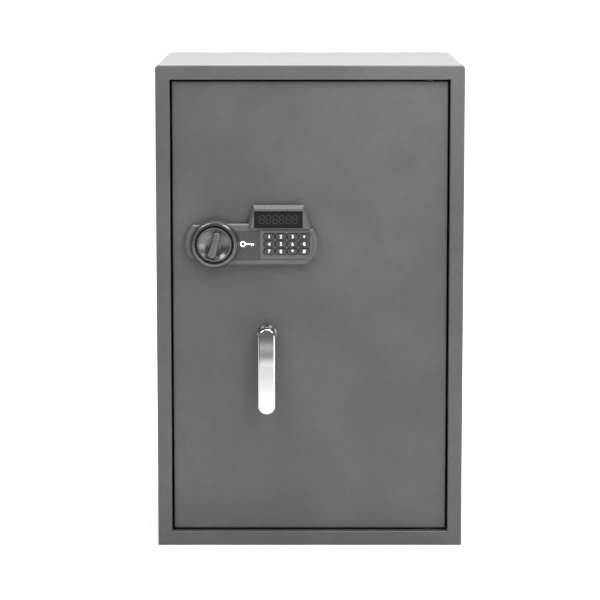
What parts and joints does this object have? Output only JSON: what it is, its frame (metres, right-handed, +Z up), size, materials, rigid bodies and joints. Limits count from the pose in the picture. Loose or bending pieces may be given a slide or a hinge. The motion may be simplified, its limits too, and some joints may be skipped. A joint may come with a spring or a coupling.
{
  "type": "in room safe",
  "caption": "Tall floor-standing in-room safe with a hinged front door, lever handle, keypad and knob panel, bolt work and one shelf.",
  "frame": {"origin": "centre of the four floor anchor holes, on the underside of the base", "axes": "x to the right seen from the front, y from the door to the back, z up"},
  "size_m": [0.43, 0.3945, 0.68],
  "materials": {
    "gunmetal_paint": "fine texture powder coat",
    "panel_plastic": "satin gunmetal",
    "knob_plastic": "semi-gloss metallic grey",
    "badge_plastic": "satin dark grey",
    "chrome": "polished",
    "key_rubber": "matte",
    "smoked_window": "gloss, smoked",
    "zinc_steel": "zinc plated",
    "black_plastic": "matte",
    "board_green": "solder mask",
    "cell_wrap": "printed wrap",
    "mat_rubber": "ribbed",
    "brass": "turned",
    "red_plastic": "gloss"
  },
  "bodies": {
    "cabinet": {"body_wrap": "gunmetal_paint", "base_panel": "gunmetal_paint", "back_panel": "gunmetal_paint", "strike_bar": "gunmetal_paint", "hinge_bushes": "black_plastic", "thrust_washers": "black_plastic", "shelf": "gunmetal_paint", "shelf_rails": "gunmetal_paint", "floor_mat": "mat_rubber"},
    "door": {"door_plate": "gunmetal_paint", "inner_cover": "gunmetal_paint", "cover_screws": "zinc_steel", "cover_posts": "zinc_steel", "hinge_blocks": "gunmetal_paint", "hinge_pins": "zinc_steel", "lever_bush": "knob_plastic", "panel_housing": "panel_plastic", "panel_screws": "zinc_steel", "bezel_ring": "knob_plastic", "keypad_plate": "panel_plastic", "display_window": "smoked_window", "display_module": "black_plastic", "circuit_board": "board_green", "battery_box": "black_plastic", "batteries": "cell_wrap", "lock_case": "zinc_steel", "solenoid_body": "zinc_steel", "guide_studs": "zinc_steel", "override_cylinder": "brass"},
    "lever": {"lever_handle": "chrome", "lever_spindle": "zinc_steel", "bolt_cam": "zinc_steel", "cam_nut": "zinc_steel"},
    "bolt_work": {"locking_bolts": "chrome", "bolt_carriage": "zinc_steel", "latch_comb": "zinc_steel", "bolt_screws": "zinc_steel", "cam_pin": "zinc_steel"},
    "knob": {"control_knob": "knob_plastic", "knob_spindle": "zinc_steel", "knob_cam": "zinc_steel"},
    "latch": {"lock_bolt": "zinc_steel", "lock_bolt_pin": "zinc_steel"},
    "plunger": {"solenoid_plunger": "zinc_steel"},
    "cover_badge": {"override_cover": "badge_plastic"},
    "lock_plug": {"override_plug": "brass"},
    "battery_lid": {"battery_cover": "black_plastic"},
    "reset": {"reset_button": "red_plastic"},
    "key_1_cap": {"key_1": "key_rubber"},
    "key_2_cap": {"key_2": "key_rubber"},
    "key_3_cap": {"key_3": "key_rubber"},
    "key_4_cap": {"key_4": "key_rubber"},
    "key_5_cap": {"key_5": "key_rubber"},
    "key_6_cap": {"key_6": "key_rubber"},
    "key_7_cap": {"key_7": "key_rubber"},
    "key_8_cap": {"key_8": "key_rubber"},
    "key_9_cap": {"key_9": "key_rubber"},
    "key_0_cap": {"key_0": "key_rubber"},
    "key_star_cap": {"key_star": "key_rubber"},
    "key_hash_cap": {"key_hash": "key_rubber"}
  },
  "joints": [
    {"name": "door_swing", "type": "hinge", "parent": "cabinet", "child": "door", "pos_m": [0.1665, -0.164, 0.34], "axis": [0, 0, 1], "range_deg": [0, 105]},
    {"name": "lever_turn", "type": "hinge", "parent": "door", "child": "lever", "pos_m": [-0.0605, -0.19, 0.303], "axis": [0, -1, 0], "range_deg": [0, 90]},
    {"name": "bolt_throw", "type": "slide", "parent": "door", "child": "bolt_work", "axis": [-1, 0, 0], "range_m": [0, 0.018]},
    {"name": "knob_turn", "type": "hinge", "parent": "door", "child": "knob", "pos_m": [-0.1335, -0.19, 0.4305], "axis": [0, -1, 0], "range_deg": [0, 90]},
    {"name": "latch_drop", "type": "slide", "parent": "door", "child": "latch", "axis": [0, 0, -1], "range_m": [0, 0.008]},
    {"name": "plunger_slide", "type": "slide", "parent": "door", "child": "plunger", "axis": [-1, 0, 0], "range_m": [0, 0.004]},
    {"name": "override_cover_off", "type": "slide", "parent": "door", "child": "cover_badge", "axis": [0, -1, 0], "range_m": [0, 0.02]},
    {"name": "override_turn", "type": "hinge", "parent": "door", "child": "lock_plug", "pos_m": [-0.0883, -0.17, 0.4285], "axis": [0, -1, 0], "range_deg": [0, 90]},
    {"name": "battery_cover_slide", "type": "slide", "parent": "door", "child": "battery_lid", "axis": [1, 0, 0], "range_m": [0, 0.06]},
    {"name": "reset_press", "type": "slide", "parent": "door", "child": "reset", "axis": [0, -1, 0], "range_m": [0, 0.002], "stiffness_N_per_m": 300},
    {"name": "key_1_press", "type": "slide", "parent": "door", "child": "key_1_cap", "axis": [0, 1, 0], "range_m": [0, 0.0012], "stiffness_N_per_m": 400},
    {"name": "key_2_press", "type": "slide", "parent": "door", "child": "key_2_cap", "axis": [0, 1, 0], "range_m": [0, 0.0012], "stiffness_N_per_m": 400},
    {"name": "key_3_press", "type": "slide", "parent": "door", "child": "key_3_cap", "axis": [0, 1, 0], "range_m": [0, 0.0012], "stiffness_N_per_m": 400},
    {"name": "key_4_press", "type": "slide", "parent": "door", "child": "key_4_cap", "axis": [0, 1, 0], "range_m": [0, 0.0012], "stiffness_N_per_m": 400},
    {"name": "key_5_press", "type": "slide", "parent": "door", "child": "key_5_cap", "axis": [0, 1, 0], "range_m": [0, 0.0012], "stiffness_N_per_m": 400},
    {"name": "key_6_press", "type": "slide", "parent": "door", "child": "key_6_cap", "axis": [0, 1, 0], "range_m": [0, 0.0012], "stiffness_N_per_m": 400},
    {"name": "key_7_press", "type": "slide", "parent": "door", "child": "key_7_cap", "axis": [0, 1, 0], "range_m": [0, 0.0012], "stiffness_N_per_m": 400},
    {"name": "key_8_press", "type": "slide", "parent": "door", "child": "key_8_cap", "axis": [0, 1, 0], "range_m": [0, 0.0012], "stiffness_N_per_m": 400},
    {"name": "key_9_press", "type": "slide", "parent": "door", "child": "key_9_cap", "axis": [0, 1, 0], "range_m": [0, 0.0012], "stiffness_N_per_m": 400},
    {"name": "key_0_press", "type": "slide", "parent": "door", "child": "key_0_cap", "axis": [0, 1, 0], "range_m": [0, 0.0012], "stiffness_N_per_m": 400},
    {"name": "key_star_press", "type": "slide", "parent": "door", "child": "key_star_cap", "axis": [0, 1, 0], "range_m": [0, 0.0012], "stiffness_N_per_m": 400},
    {"name": "key_hash_press", "type": "slide", "parent": "door", "child": "key_hash_cap", "axis": [0, 1, 0], "range_m": [0, 0.0012], "stiffness_N_per_m": 400}
  ],
  "couplings": [
    {"joint": "bolt_throw", "follows": "lever_turn", "m_per_rad": 0.011459},
    {"joint": "latch_drop", "follows": "knob_turn", "m_per_rad": 0.005093}
  ]
}
